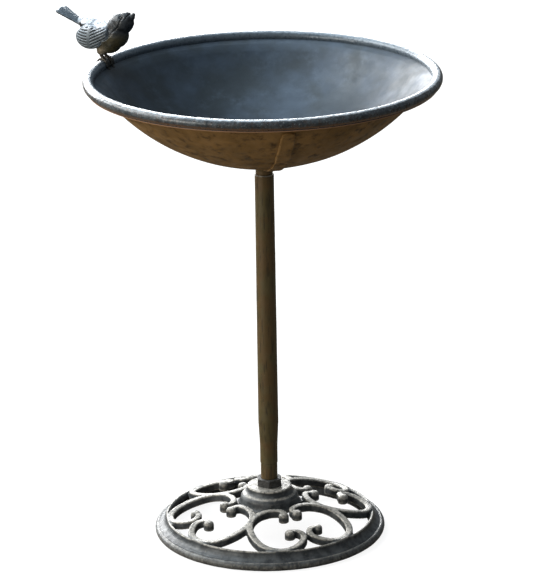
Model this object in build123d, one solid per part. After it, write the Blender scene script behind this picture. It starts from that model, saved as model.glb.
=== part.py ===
from build123d import *
from math import degrees
import os

os.makedirs("parts", exist_ok=True)

# ---------------------------------------------------------------- driving dimensions, mm
RIM_R = 178.0            # outer radius of the rim ring, the widest point
RIM_Z = 478.4            # height of the middle of the rim ring
BEAD_R = 5.6             # radius of the ring's round bar
SHEET = 1.2              # bowl sheet thickness

BOWL_Z = 393.0           # underside of the bowl at its middle
BOWL_SPHERE = 201.9      # outer radius of the pressed cap
WALL_R = 158.0           # where the cap ends and bends out into the flange
BEND_R = 161.8           # where the flange under the ring begins
FLANGE_R = 174.0         # the flange's edge, under the ring

POLE_TOP_Z = 379.5
POLE_FOOT_Z = 73.0       # lower end of the pole tube
POLE_TOP_R = 9.75
POLE_LOW_R = 10.4
POLE_NECK_R = 9.1        # swaged lower end
TUBE_WALL = 1.5
SWAGE_TOP_Z = 118.0
SWAGE_END_Z = 92.0

RING_R = 118.0           # base ring, outside
RING_FOOT_R = 4.4        # radius of the round bead that it stands on
RING_COVE_Z = 11.0       # middle of the hollow above that bead
RING_RIDGE_R = 105.4     # top of the ridge inside the hollow
RING_RIDGE_Z = 17.4
RIDGE_EDGE = 0.8         # how far the ridge's sides start below its top
RING_INNER_R = 102.4
RING_INNER_Z = 13.0      # top of the ring's inner face

HUB_R = 29.4
HUB_SKIRT_R = 36.5       # the skirt that the scrolls grow out of
HUB_NECK_R = 22.9        # the upright part under the seat
HUB_TOP_R = 22.0
HUB_TOP_Z = 48.3
HUB_LOW_Z = 26.0
HUB_BORE_R = 8.3
HUB_RECESS_R = 16.5      # pocket under the hub for the foot's nut and washers
HUB_RECESS_Z = 36.5      # roof of that pocket

HEARTS = 4
SCROLL_AXIS = 26.0       # direction of the first heart's axis, degrees
SCROLL_WIDTH = 5.8
SCROLL_DEPTH = 8.0
BULB_R = 5.2             # round ends of each scroll
DOME_TOP_Z = 35.6        # scroll tops where they meet the hub
DOME_FULLNESS = 0.66     # how much of that height is left half way out to the ring
# one scroll, half of a heart: start point, heading, then clockwise arcs (radius, turn)
SCROLL_START = (47.5, 7.5)
SCROLL_HEADING = 227.0
SCROLL_ARCS = ((6.8, 110.0), (28.0, 94.0), (48.0, 32.0), (25.5, 132.0), (7.9, 156.0))

STRAP_WIDTH = 13.0
STRAP_THICK = 2.0
STRAP_AXIS = 99.0        # the strap's direction, degrees
STRAP_REACH = 156.5      # radius at which each end stops

SPIGOT_GAP = 0.07        # play between spigot and tube
SPIGOT_LENGTH = 40.0
COLLAR_R = 8.7
COLLAR_FLARE = 1.2
SEAT_WASHER_R = 9.6
SEAT_WASHER_T = 1.2

STUD_R = 4.0             # thread of the stud that holds the spigot
STUD_LENGTH = 24.0
STUD_HOLE_GAP = 0.3
THREAD_GAP = 0.05
FOOT_R = 8.55            # visible part of the pole foot
FOOT_THREAD_R = 8.0
FOOT_END_Z = 19.5        # lower end of the foot's thread
FOOT_INSERT = 16.0       # length of the foot inside the tube
NUT_FLATS = 24.0
NUT_H = 10.0
NUT_CORNER = 1.0         # height of the turned corners
LOCKNUT_H = 8.0
FOOT_WASHER_R = 15.0
FOOT_WASHER_T = 2.5
SPRING_WASHER_R = 12.8
SPRING_WASHER_T = 3.0
WASHER_BORE_R = 8.5

BIRD_AXIS = 157.0        # where on the rim the bird stands, degrees
FOOT_SPREAD = 5.0        # each foot's distance from the middle of the bird, along the rim
CLAW_W = 5.0
CLAW_RISE = 2.4          # top of the toes over the ring
PIN_R = 1.5              # threaded pin under each foot
PIN_RING_R = 165.2       # the pins' distance from the bowl's axis, just inside the ring
PIN_NUT_FLATS = 5.5
PIN_NUT_H = 2.4
PIN_WASHER_R = 3.2
PIN_WASHER_T = 0.6

# ---------------------------------------------------------------- derived positions
CAP_CENTRE_Z = BOWL_Z + BOWL_SPHERE
BEAD_CENTRE_R = RIM_R - BEAD_R
BEAD_TOP_Z = RIM_Z + BEAD_R
FLANGE_TOP_Z = RIM_Z - BEAD_R
FLANGE_LOW_Z = FLANGE_TOP_Z - SHEET
UNDER_STRAP_Z = BOWL_Z - STRAP_THICK
WASHER_TOP_Z = POLE_TOP_Z + SEAT_WASHER_T
SPIGOT_R = POLE_TOP_R - TUBE_WALL - SPIGOT_GAP
TUBE_NECK_BORE = POLE_NECK_R - TUBE_WALL
FOOT_WASHER_Z = HUB_RECESS_Z - FOOT_WASHER_T
SPRING_WASHER_Z = FOOT_WASHER_Z - SPRING_WASHER_T

UP = (Align.CENTER, Align.CENTER, Align.MIN)


def rod(radius, low, high):
    """A round bar on the Z axis between two heights."""
    return Pos(0, 0, low) * Cylinder(radius, high - low, align=UP)


def tube(outer, inner, low, high):
    """A plain ring on the Z axis between two heights."""
    return rod(outer, low, high) - rod(inner, low, high)


def hex_prism(flats, low, high):
    """A six-sided bar on the Z axis, given its width across flats."""
    side = RegularPolygon(flats / 2, 6, major_radius=False)
    return Pos(0, 0, low) * extrude(side, high - low)


def turned(points):
    """A solid of revolution from an outline of (radius, height) points."""
    outline = make_face(Plane.XZ * Polyline(*points, close=True))
    return revolve(outline, Axis.Z)


# ---------------------------------------------------------------- base
def base_ring():
    """The moulded ring: round foot bead, hollow cove and a raised ridge inside."""
    foot_top = (RING_R - RING_FOOT_R + 1.0, 2 * RING_FOOT_R)
    cove = (RING_RIDGE_R + 3.6, RING_COVE_Z)
    shoulder_z = RING_RIDGE_Z - RIDGE_EDGE
    ridge_out, ridge_in = (RING_RIDGE_R + 1.4, shoulder_z), (RING_RIDGE_R - 1.6, shoulder_z)
    with BuildSketch(Plane.XZ) as section:
        with BuildLine():
            Line((RING_INNER_R, 0), (RING_R - RING_FOOT_R, 0))
            ThreePointArc((RING_R - RING_FOOT_R, 0), (RING_R, RING_FOOT_R), foot_top)
            ThreePointArc(foot_top, cove, ridge_out)
            ThreePointArc(ridge_out, (RING_RIDGE_R, RING_RIDGE_Z), ridge_in)
            Line(ridge_in, (RING_INNER_R, RING_INNER_Z))
            Line((RING_INNER_R, RING_INNER_Z), (RING_INNER_R, 0))
        make_face()
    return revolve(section.sketch, Axis.Z)


def hub():
    """The boss in the middle: a pocket below, a skirt, a conical side and an upright neck with a flat seat."""
    return turned([
        (HUB_BORE_R, HUB_RECESS_Z), (HUB_RECESS_R, HUB_RECESS_Z), (HUB_RECESS_R, HUB_LOW_Z),
        (HUB_SKIRT_R, HUB_LOW_Z + 1.6), (HUB_SKIRT_R, 31.5), (HUB_R + 1.2, 34.0),
        (HUB_R, 36.5), (HUB_R - 1.4, 39.0), (HUB_NECK_R + 1.5, 42.0), (HUB_NECK_R, 44.0),
        (HUB_NECK_R, HUB_TOP_Z - 0.9), (HUB_TOP_R, HUB_TOP_Z), (HUB_BORE_R, HUB_TOP_Z),
    ])


def dome_band():
    """The domed layer that the scrolls lie in, from the hub down to the ring."""
    inner, outer = HUB_R - 4.0, RING_R - 11.0
    middle = (inner + outer) / 2
    low_z = RING_RIDGE_Z - 1.0
    middle_z = RING_RIDGE_Z + DOME_FULLNESS * (DOME_TOP_Z - RING_RIDGE_Z)
    with BuildSketch(Plane.XZ) as section:
        with BuildLine():
            ThreePointArc((inner, DOME_TOP_Z), (middle, middle_z), (outer, low_z))
            Line((outer, low_z), (outer, low_z - SCROLL_DEPTH))
            ThreePointArc((outer, low_z - SCROLL_DEPTH), (middle, middle_z - SCROLL_DEPTH),
                          (inner, DOME_TOP_Z - SCROLL_DEPTH))
            Line((inner, DOME_TOP_Z - SCROLL_DEPTH), (inner, DOME_TOP_Z))
        make_face()
    return revolve(section.sketch, Axis.Z)


def scroll_plan():
    """One C-scroll seen from above: a bar along tangent arcs, with a bulb at each end."""
    start, heading = Vector(*SCROLL_START), SCROLL_HEADING
    plan = Pos(start.X, start.Y) * Circle(BULB_R)
    for radius, turn in SCROLL_ARCS:
        direction = Vector(1, 0).rotate(Axis.Z, heading)
        arc = JernArc(start, direction, radius, -turn)
        plan += trace(arc, SCROLL_WIDTH)
        start, heading = arc @ 1, heading - turn
        plan += Pos(start.X, start.Y) * Circle(SCROLL_WIDTH / 2)
    return plan + Pos(start.X, start.Y) * Circle(BULB_R)


def base_casting():
    """Ring, four hearts of mirrored scrolls and hub, cast in one."""
    scroll = extrude(scroll_plan(), DOME_TOP_Z + 5.0) & dome_band()
    heart = [scroll, mirror(scroll, about=Plane.XZ)]
    casting = base_ring() + hub()
    for index in range(HEARTS):
        for half in heart:
            casting += Rot(0, 0, SCROLL_AXIS + 360.0 / HEARTS * index) * half
    return casting - rod(HUB_BORE_R, 0, HUB_TOP_Z + 1)


def nut(height, low):
    """A hexagon nut on the foot's thread, with turned corners."""
    body = hex_prism(NUT_FLATS, low, low + height)
    corner = NUT_FLATS / 2 / 0.866
    face_r = corner - 1.6 * NUT_CORNER
    turned_blank = turned([
        (0, low), (face_r, low), (corner, low + NUT_CORNER), (corner, low + height - NUT_CORNER),
        (face_r, low + height), (0, low + height),
    ])
    return (body & turned_blank) - rod(FOOT_THREAD_R + THREAD_GAP, low, low + height)


def foot_washer():
    return tube(FOOT_WASHER_R, WASHER_BORE_R, FOOT_WASHER_Z, HUB_RECESS_Z)


def foot_spring_washer():
    """A split ring under the plain washer."""
    ring = tube(SPRING_WASHER_R, WASHER_BORE_R, SPRING_WASHER_Z, FOOT_WASHER_Z)
    middle_r = (SPRING_WASHER_R + WASHER_BORE_R) / 2
    slit = Box(8.0, 0.8, 2 * SPRING_WASHER_T)
    return ring - Pos(middle_r, 0, SPRING_WASHER_Z + SPRING_WASHER_T / 2) * Rot(20, 0, 0) * slit


def foot_nut():
    return nut(NUT_H, SPRING_WASHER_Z - NUT_H)


def locknut():
    return nut(LOCKNUT_H, HUB_TOP_Z)


def pole_foot():
    """Turned foot: thread through the hub, a shoulder under the tube and a plug inside it."""
    thread_top = HUB_TOP_Z + LOCKNUT_H
    plug_r = TUBE_NECK_BORE - 0.03
    plug_top = POLE_FOOT_Z + FOOT_INSERT
    return turned([
        (0, FOOT_END_Z), (FOOT_THREAD_R - 1.0, FOOT_END_Z), (FOOT_THREAD_R, FOOT_END_Z + 1.0),
        (FOOT_THREAD_R, thread_top), (FOOT_R, thread_top), (FOOT_R, POLE_FOOT_Z), (plug_r, POLE_FOOT_Z),
        (plug_r, plug_top - 1.0), (plug_r - 1.0, plug_top), (0, plug_top),
    ])


# ---------------------------------------------------------------- pole
def pole_tube():
    """Slightly tapered tube with its lower end swaged down."""
    top_bore = POLE_TOP_R - TUBE_WALL
    socket_end = POLE_TOP_Z - SPIGOT_LENGTH - 5.0
    return turned([
        (POLE_NECK_R, POLE_FOOT_Z), (POLE_NECK_R, SWAGE_END_Z), (POLE_LOW_R, SWAGE_TOP_Z),
        (POLE_TOP_R, POLE_TOP_Z), (top_bore, POLE_TOP_Z), (top_bore, socket_end),
        (POLE_LOW_R - TUBE_WALL, SWAGE_TOP_Z), (TUBE_NECK_BORE, SWAGE_END_Z), (TUBE_NECK_BORE, POLE_FOOT_Z),
    ])


def seat_washer():
    return tube(SEAT_WASHER_R, SPIGOT_R + 0.08, POLE_TOP_Z, WASHER_TOP_Z)


# ---------------------------------------------------------------- bowl
def cap_ball(extra):
    """The ball whose lower cap is the bowl's outside, grown by a thickness."""
    return Pos(0, 0, CAP_CENTRE_Z) * Sphere(BOWL_SPHERE + extra)


def cap_height(radius, ball):
    """Height of the cap's surface at a radius, for a ball of this size about the cap's centre."""
    return CAP_CENTRE_Z - (ball ** 2 - radius ** 2) ** 0.5


def bowl_shell():
    """Pressed cap with its edge bent out into a flat flange, which carries the rim ring."""
    inner_ball = BOWL_SPHERE - SHEET
    inner_wall_r = WALL_R - 0.7 * SHEET
    half_r = 0.4 * BOWL_SPHERE
    wall_z, inner_wall_z = cap_height(WALL_R, BOWL_SPHERE), cap_height(inner_wall_r, inner_ball)
    bend_r = (WALL_R + BEND_R) / 2
    with BuildSketch(Plane.XZ) as section:
        with BuildLine():
            ThreePointArc((0, BOWL_Z), (half_r, cap_height(half_r, BOWL_SPHERE)), (WALL_R, wall_z))
            ThreePointArc((WALL_R, wall_z), (bend_r, FLANGE_LOW_Z - 0.5), (BEND_R, FLANGE_LOW_Z))
            Polyline((BEND_R, FLANGE_LOW_Z), (FLANGE_R, FLANGE_LOW_Z), (FLANGE_R, FLANGE_TOP_Z),
                     (BEND_R - 0.6, FLANGE_TOP_Z))
            ThreePointArc((BEND_R - 0.6, FLANGE_TOP_Z), (bend_r - 1.0, FLANGE_TOP_Z - 0.7),
                          (inner_wall_r, inner_wall_z))
            ThreePointArc((inner_wall_r, inner_wall_z), (half_r, cap_height(half_r, inner_ball)),
                          (0, BOWL_Z + SHEET))
            Line((0, BOWL_Z + SHEET), (0, BOWL_Z))
        make_face()
    shell = revolve(section.sketch, Axis.Z)
    for place in foot_places():
        shell -= place * Pos(PIN_RING_R, 0, FLANGE_LOW_Z) * Cylinder(PIN_R + 0.2, 6 * SHEET)
    return shell


def rim_ring():
    """Round bar bent into a hoop and welded along the top of the flange."""
    return Pos(0, 0, RIM_Z) * Torus(BEAD_CENTRE_R, BEAD_R)


def bowl_strap():
    """A flat bar that runs under the bowl from side to side, bent to its curve."""
    layer = cap_ball(STRAP_THICK) - cap_ball(0)
    bar = Box(2 * STRAP_REACH, STRAP_WIDTH, 200, align=(Align.CENTER, Align.CENTER, Align.MAX))
    bent = layer & (Pos(0, 0, RIM_Z) * Rot(0, 0, STRAP_AXIS) * bar)
    return bent - rod(STUD_R + STUD_HOLE_GAP, UNDER_STRAP_Z - 5, BOWL_Z + 5)


def bowl_stud():
    """Threaded stud welded under the bowl's middle, so that the bowl itself has no hole."""
    return rod(STUD_R, BOWL_Z - STUD_LENGTH, BOWL_Z + 1) - cap_ball(0)


def bowl_spigot():
    """The plug that stands in the pole, screwed up the stud, with a collar flared to the strap."""
    low = POLE_TOP_Z - SPIGOT_LENGTH
    solid = turned([
        (0, low), (SPIGOT_R - 1.5, low), (SPIGOT_R, low + 1.5), (SPIGOT_R, WASHER_TOP_Z),
        (COLLAR_R, WASHER_TOP_Z), (COLLAR_R, WASHER_TOP_Z + 4.0), (COLLAR_R + COLLAR_FLARE, UNDER_STRAP_Z + 1.0),
        (0, UNDER_STRAP_Z + 1.0),
    ])
    bore = rod(STUD_R + THREAD_GAP, BOWL_Z - STUD_LENGTH - 4.0, BOWL_Z)
    return solid - cap_ball(STRAP_THICK) - bore


# ---------------------------------------------------------------- bird
def foot_places():
    """The directions of the bird's two feet, as turns about the bowl's axis."""
    spread = degrees(FOOT_SPREAD / BEAD_CENTRE_R)
    return [Rot(0, 0, BIRD_AXIS + side * spread) for side in (-1, 1)]


def egg(length, width, tilt, place):
    """A solid egg: an ellipse turned about its long axis, tipped nose down by tilt degrees."""
    upper_half = Pos(0, width / 4) * Rectangle(length, width / 2)
    return Pos(*place) * Rot(0, tilt, 0) * revolve(Plane.XZ * (Ellipse(length / 2, width / 2) & upper_half), Axis.X)


def bird_beak():
    return Pos(25.5, 0, 43.8) * Rot(0, 72, 0) * Cone(4.8, 0.9, 10.4, align=UP)


def bird_tail():
    """A tapered slab, narrow at the root and raised behind."""
    length, root_half, tip_half, thickness, raised = 32.5, 5.5, 11.0, 4.0, 29.0
    plan = Polyline((0, -root_half), (-length, -tip_half), (-length, tip_half), (0, root_half), close=True)
    slab = Pos(0, 0, -thickness / 2) * extrude(make_face(plan), thickness)
    return Pos(-20.5, 0, 34.8) * Rot(0, raised, 0) * slab


def bird_body():
    """Body, head, beak, tail, wings and legs: +X is forward and 0 is the top of the ring."""
    bird = egg(54.0, 29.5, -8.0, (0.5, 0, 25.5)) + egg(27.0, 21.5, -8.0, (20.0, 0, 40.6))
    bird += egg(32.0, 16.0, 12.0, (-11.0, 0, 32.3))
    bird += bird_beak()
    bird += bird_tail()
    for side in (-1, 1):
        bird += egg(38.0, 22.0, -8.0, (-7.5, side * 4.8, 25.2))
        bird += Pos(0, side * FOOT_SPREAD, -1.0) * Cylinder(2.1, 20.0, align=UP)
    return bird


def bird_casting():
    """Songbird that faces the bowl's middle, with its feet over the ring and a pin under each."""
    bird = Rot(0, 0, BIRD_AXIS) * Pos(BEAD_CENTRE_R, 0, BEAD_TOP_Z) * Rot(0, 0, 180) * bird_body()
    toe_top = BEAD_TOP_Z + CLAW_RISE
    foot_in, claw_out, foot_out = PIN_RING_R - 2.8, BEAD_CENTRE_R - 3.0, BEAD_CENTRE_R + 4.0
    corner = (Align.MIN, Align.CENTER, Align.MIN)
    claw = Pos(foot_in, 0, FLANGE_TOP_Z) * Box(claw_out - foot_in, CLAW_W, toe_top - FLANGE_TOP_Z, align=corner)
    toes = Pos(foot_in, 0, RIM_Z) * Box(foot_out - foot_in, CLAW_W, toe_top - RIM_Z, align=corner)
    pin = Pos(PIN_RING_R, 0, FLANGE_TOP_Z) * Cylinder(PIN_R, 12.0)
    for place in foot_places():
        for piece in (claw, toes, pin):
            bird += place * piece
    return bird - rim_ring()


def under_flange(piece):
    """A copy on each pin's axis of a small piece measured down from the flange."""
    low = Pos(PIN_RING_R, 0, FLANGE_LOW_Z)
    return Compound(children=[place * low * piece for place in foot_places()])


def bird_washers():
    return under_flange(tube(PIN_WASHER_R, PIN_R + 0.15, -PIN_WASHER_T, 0))


def bird_nuts():
    low = -PIN_WASHER_T - PIN_NUT_H
    return under_flange(hex_prism(PIN_NUT_FLATS, low, -PIN_WASHER_T) - rod(PIN_R + THREAD_GAP, low, 0))


# ---------------------------------------------------------------- parts
PARTS = {
    "base_casting": base_casting,
    "foot_washer": foot_washer,
    "foot_spring_washer": foot_spring_washer,
    "foot_nut": foot_nut,
    "locknut": locknut,
    "pole_foot": pole_foot,
    "pole_tube": pole_tube,
    "seat_washer": seat_washer,
    "bowl_shell": bowl_shell,
    "rim_ring": rim_ring,
    "bowl_strap": bowl_strap,
    "bowl_stud": bowl_stud,
    "bowl_spigot": bowl_spigot,
    "bird_casting": bird_casting,
    "bird_washers": bird_washers,
    "bird_nuts": bird_nuts,
}

for name, make in PARTS.items():
    export_step(make(), f"parts/{name}.step")
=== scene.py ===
import math

import bmesh
import bpy
import numpy as np
from mathutils import Matrix, Vector, noise


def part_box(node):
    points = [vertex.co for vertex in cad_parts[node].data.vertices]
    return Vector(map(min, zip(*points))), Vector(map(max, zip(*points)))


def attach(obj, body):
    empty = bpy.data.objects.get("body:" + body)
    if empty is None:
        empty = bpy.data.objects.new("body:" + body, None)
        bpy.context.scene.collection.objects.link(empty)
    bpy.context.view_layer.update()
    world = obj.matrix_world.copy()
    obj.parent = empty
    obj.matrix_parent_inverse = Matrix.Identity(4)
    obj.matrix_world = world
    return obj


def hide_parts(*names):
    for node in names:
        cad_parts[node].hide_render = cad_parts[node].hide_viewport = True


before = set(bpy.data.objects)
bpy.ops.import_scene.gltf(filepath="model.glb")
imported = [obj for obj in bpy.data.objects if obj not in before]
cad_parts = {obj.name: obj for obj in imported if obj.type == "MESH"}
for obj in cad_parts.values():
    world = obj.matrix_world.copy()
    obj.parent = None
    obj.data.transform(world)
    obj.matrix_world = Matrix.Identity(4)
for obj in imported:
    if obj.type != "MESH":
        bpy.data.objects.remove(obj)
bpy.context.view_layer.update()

MM = 0.001

# ---- driving sizes in mm; the outer ones come from the frame


def node_box(node):
    """Lowest and highest corner of a CAD node, in millimetres."""
    lo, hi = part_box(node)
    return np.array(lo) / MM, np.array(hi) / MM


RIM_LO, RIM_HI = node_box("rim_ring")
RIM_R = RIM_HI[0]
BEAD_R = (RIM_HI[2] - RIM_LO[2]) / 2
BEAD_CENTRE_R = RIM_R - BEAD_R
RIM_Z = (RIM_HI[2] + RIM_LO[2]) / 2

SHELL_LO, SHELL_HI = node_box("bowl_shell")
FLANGE_R = SHELL_HI[0]
FLANGE_TOP_Z = SHELL_HI[2]
BOWL_Z = SHELL_LO[2]
SHEET = 1.2
FLANGE_LOW_Z = FLANGE_TOP_Z - SHEET
WALL_R = FLANGE_R - 16.0
BEND_R = FLANGE_R - 12.2
BOWL_SPHERE = 201.9
CAP_CENTRE_Z = BOWL_Z + BOWL_SPHERE

_, BASE_HI = node_box("base_casting")
RING_R = BASE_HI[0]
HUB_TOP_Z = BASE_HI[2]
RING_RIDGE_R = RING_R - 12.6
RING_RIDGE_Z = 17.4
RING_INNER_R = RING_R - 15.6
HUB_R = 29.4
HUB_SKIRT_R = 36.5
HUB_LOW_Z = 26.0
HUB_RECESS_R = 16.5
HUB_RECESS_Z = 36.5
HUB_BORE_R = 8.3

HEARTS = 4
SCROLL_AXIS = 26.0
SCROLL_WIDTH = 5.8
SCROLL_DEPTH = 8.0
BULB_R = 5.2
DOME_TOP_Z = 35.6
DOME_FULLNESS = 0.66
# one scroll, half of a heart: start point, heading, then clockwise arcs (radius, turn)
SCROLL_START = (47.5, 7.5)
SCROLL_HEADING = 227.0
SCROLL_ARCS = ((6.8, 110.0), (28.0, 94.0), (48.0, 32.0), (25.5, 132.0), (7.9, 156.0))

POLE_LO, POLE_HI = node_box("pole_tube")
POLE_FOOT_Z, POLE_TOP_Z = POLE_LO[2], POLE_HI[2]
POLE_LOW_R = POLE_HI[0]
POLE_TOP_R = POLE_LOW_R - 0.65
POLE_NECK_R = POLE_LOW_R - 1.3
TUBE_WALL = 1.5
SWAGE_TOP_Z = POLE_FOOT_Z + 45.0
SWAGE_END_Z = POLE_FOOT_Z + 19.0

STRAP_WIDTH = 13.0
STRAP_THICK = 2.0
STRAP_AXIS = 99.0
STRAP_REACH = 156.5
SPIGOT_LO, SPIGOT_HI = node_box("bowl_spigot")
COLLAR_TOP_R = SPIGOT_HI[0]
COLLAR_R = COLLAR_TOP_R - 1.1
_, WASHER_HI = node_box("seat_washer")

NUT_FLATS = 24.0
FOOT_LO, FOOT_HI = node_box("pole_foot")
FOOT_R = FOOT_HI[0]
FOOT_THREAD_R = 8.0
THREAD_PITCH = 2.0

# an outline that ends on the axis stops this far off it, so that no face there is empty
AXIS_GAP = 0.02
# cell sizes of the skins that join overlapping shells
BASE_VOXEL = 0.85
STRAP_VOXEL = 0.55
SPIGOT_VOXEL = 0.4
BIRD_CORE_VOXEL = 0.6
BIRD_VOXEL = 0.38


# ---- mesh tools
def grid_faces(rows, cols, wrap_rows=True):
    """Quads of a grid of points whose rows are loops; its last row may join the first."""
    faces = []
    for i in range(rows if wrap_rows else rows - 1):
        for j in range(cols):
            k, m = (i + 1) % rows, (j + 1) % cols
            faces.append((i * cols + j, i * cols + m, k * cols + m, k * cols + j))
    return faces


def bar_faces(rows, cols):
    """Faces of a bar made of loops of points, closed at both ends."""
    last = (rows - 1) * cols
    ends = [tuple(range(cols)), tuple(last + s for s in range(cols))]
    return grid_faces(rows, cols, wrap_rows=False) + ends


def merge(shells):
    """Several (points, faces) shells as one."""
    points, faces, count = [], [], 0
    for pts, fcs in shells:
        points.append(np.asarray(pts, float))
        faces += [tuple(v + count for v in f) for f in fcs]
        count += len(pts)
    return np.concatenate(points), faces


def turn_matrix(degrees, axis="Z"):
    """The matrix that turns by an angle about an axis."""
    return np.array(Matrix.Rotation(math.radians(degrees), 3, axis))


def new_object(name, data):
    """An object with this data, in the scene."""
    obj = bpy.data.objects.new(name, data)
    bpy.context.scene.collection.objects.link(obj)
    return obj


def new_piece(name, shell):
    """A Blender object from one shell in millimetres, with its faces turned outwards."""
    points, faces = shell
    mesh = bpy.data.meshes.new(name)
    mesh.from_pydata((np.asarray(points, float) * MM).tolist(), [], faces)
    work = bmesh.new()
    work.from_mesh(mesh)
    bmesh.ops.remove_doubles(work, verts=work.verts, dist=1e-6)
    bmesh.ops.dissolve_degenerate(work, edges=work.edges, dist=1e-7)
    bmesh.ops.recalc_face_normals(work, faces=work.faces)
    work.to_mesh(mesh)
    work.free()
    mesh.shade_smooth()
    return new_object(name, mesh)


def fused(piece, voxel):
    """Replaces a piece's overlapping shells by one closed skin of even faces."""
    skin = piece.modifiers.new("skin", "REMESH")
    skin.mode = "VOXEL"
    skin.voxel_size = voxel * MM
    graph = bpy.context.evaluated_depsgraph_get()
    mesh = bpy.data.meshes.new_from_object(piece.evaluated_get(graph))
    piece.modifiers.clear()
    piece.data = mesh
    mesh.shade_smooth()
    return piece


def get_vectors(piece, name):
    """One vector for each point, by its name in Blender."""
    values = np.zeros(len(piece.data.vertices) * 3, np.float32)
    piece.data.vertices.foreach_get(name, values)
    return values.reshape(-1, 3).astype(float)


def get_points(piece):
    return get_vectors(piece, "co") / MM


def set_points(piece, points):
    piece.data.vertices.foreach_set("co", (points * MM).astype(np.float32).ravel())
    piece.data.update()


def get_normals(piece):
    return get_vectors(piece, "normal")


def neighbour_mean(piece, values):
    """Each point's average over its neighbours, of values with one row per point."""
    pairs = np.zeros(len(piece.data.edges) * 2, np.int32)
    piece.data.edges.foreach_get("vertices", pairs)
    a, b = pairs.reshape(-1, 2).T
    count = np.bincount(np.r_[a, b], minlength=len(values)).astype(float)
    total = np.stack([
        np.bincount(np.r_[a, b], np.r_[column[b], column[a]], minlength=len(values))
        for column in values.T
    ], axis=1)
    return total / np.maximum(count, 1)[:, None]


def relax(piece, rounds):
    """Smooths a piece without shrinking it: each round goes in and then a little further out."""
    points = get_points(piece)
    for _ in range(rounds):
        for step in (0.5, -0.52):
            points = points + step * (neighbour_mean(piece, points) - points)
    set_points(piece, points)


def push(piece, amount):
    """Moves each point along its normal by an amount in millimetres."""
    set_points(piece, get_points(piece) + get_normals(piece) * amount[:, None])


def lumps(points, size, seed):
    """Smooth noise between about -1 and 1, with lumps of a size in millimetres."""
    shift = np.array([37.1, 11.7, 5.3]) * seed
    return np.array([noise.noise(Vector(p)) for p in points / size + shift])


def store(piece, name, values):
    """Keeps one number per point for the materials to read."""
    attribute = piece.data.attributes.new(name, "FLOAT", "POINT")
    attribute.data.foreach_set("value", np.asarray(values, np.float32))


def store_relief(piece, rounds, strength):
    """Keeps how far each point stands out from its surroundings: 0.5 is flat, 1 a ridge, 0 a hollow."""
    points, normals = get_points(piece), get_normals(piece)
    around = points
    for _ in range(rounds):
        around = neighbour_mean(piece, around)
    height = ((points - around) * normals).sum(axis=1)
    store(piece, "relief", np.clip(0.5 + strength * height, 0, 1))


def axis_distance(points):
    """Distance of each point from the pole's axis."""
    return np.hypot(points[:, 0], points[:, 1])


def band(values, centre, width):
    """1 at a centre, fading to 0 on both sides."""
    return np.exp(-(((values - centre) / width) ** 2))


def ramp(low, high, x):
    """0 below one value and 1 above another, smooth in between; it falls if low is the larger one."""
    t = np.clip((np.asarray(x, float) - low) / (high - low), 0, 1)
    return t * t * (3 - 2 * t)


def finish_piece(piece, body, material, node):
    """Puts a material on a piece, seats it on its body and hides the CAD node it stands for."""
    piece.data.materials.clear()
    piece.data.materials.append(material)
    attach(piece, body)
    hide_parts(node)


# ---- outlines and shells
def rounded(corners, radii, steps=4):
    """A closed outline with each corner rounded by its own radius."""
    corners = [np.array(c, float) for c in corners]
    outline = []
    for k, corner in enumerate(corners):
        before, after = corners[k - 1], corners[(k + 1) % len(corners)]
        radius = radii[k] if isinstance(radii, (list, tuple)) else radii
        a, b = before - corner, after - corner
        la, lb = np.linalg.norm(a), np.linalg.norm(b)
        a, b = a / la, b / lb
        half = math.acos(max(-1.0, min(1.0, float(a @ b)))) / 2
        if radius <= 0 or half > math.radians(89.0):
            outline.append(corner)
            continue
        cut = min(radius / math.tan(half), 0.45 * la, 0.45 * lb)
        start, end = corner + a * cut, corner + b * cut
        for s in np.linspace(0, 1, steps + 1):
            outline.append((1 - s) ** 2 * start + 2 * s * (1 - s) * corner + s * s * end)
    return outline


def refined(outline, longest):
    """The same closed outline with its long edges divided."""
    dense = []
    for k, p in enumerate(outline):
        q = np.array(outline[(k + 1) % len(outline)])
        parts = max(1, int(np.linalg.norm(q - p) / longest))
        dense += [p + (q - p) * s / parts for s in range(parts)]
    return dense


def lathe(outline, steps, twist=None):
    """A ring-shaped shell from a closed outline of (radius, height).

    If given, twist(radius, height, angle) returns other radii.
    """
    outline = np.array(outline, float)
    angles = np.linspace(0, 2 * math.pi, steps, endpoint=False)
    r = np.repeat(outline[:, :1], steps, axis=1)
    z = np.repeat(outline[:, 1:], steps, axis=1)
    angle = np.repeat(angles[None], len(outline), axis=0)
    if twist is not None:
        r = twist(r, z, angle)
    points = np.stack([r * np.cos(angle), r * np.sin(angle), z], axis=2).reshape(-1, 3)
    return points, grid_faces(len(outline), steps)


def ball(centre, size, tilt=0.0, rings=24, steps=32):
    """An ellipsoid with half sizes (x, y, z), tipped nose down by tilt degrees."""
    heights = np.linspace(0, math.pi, rings)
    around = np.linspace(0, 2 * math.pi, steps, endpoint=False)
    h, a = np.meshgrid(heights, around, indexing="ij")
    points = np.stack([np.cos(h), np.sin(h) * np.cos(a), np.sin(h) * np.sin(a)], axis=2).reshape(-1, 3)
    points = (points * size) @ turn_matrix(tilt, "Y").T + centre
    return points, grid_faces(rings, steps, wrap_rows=False)


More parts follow.
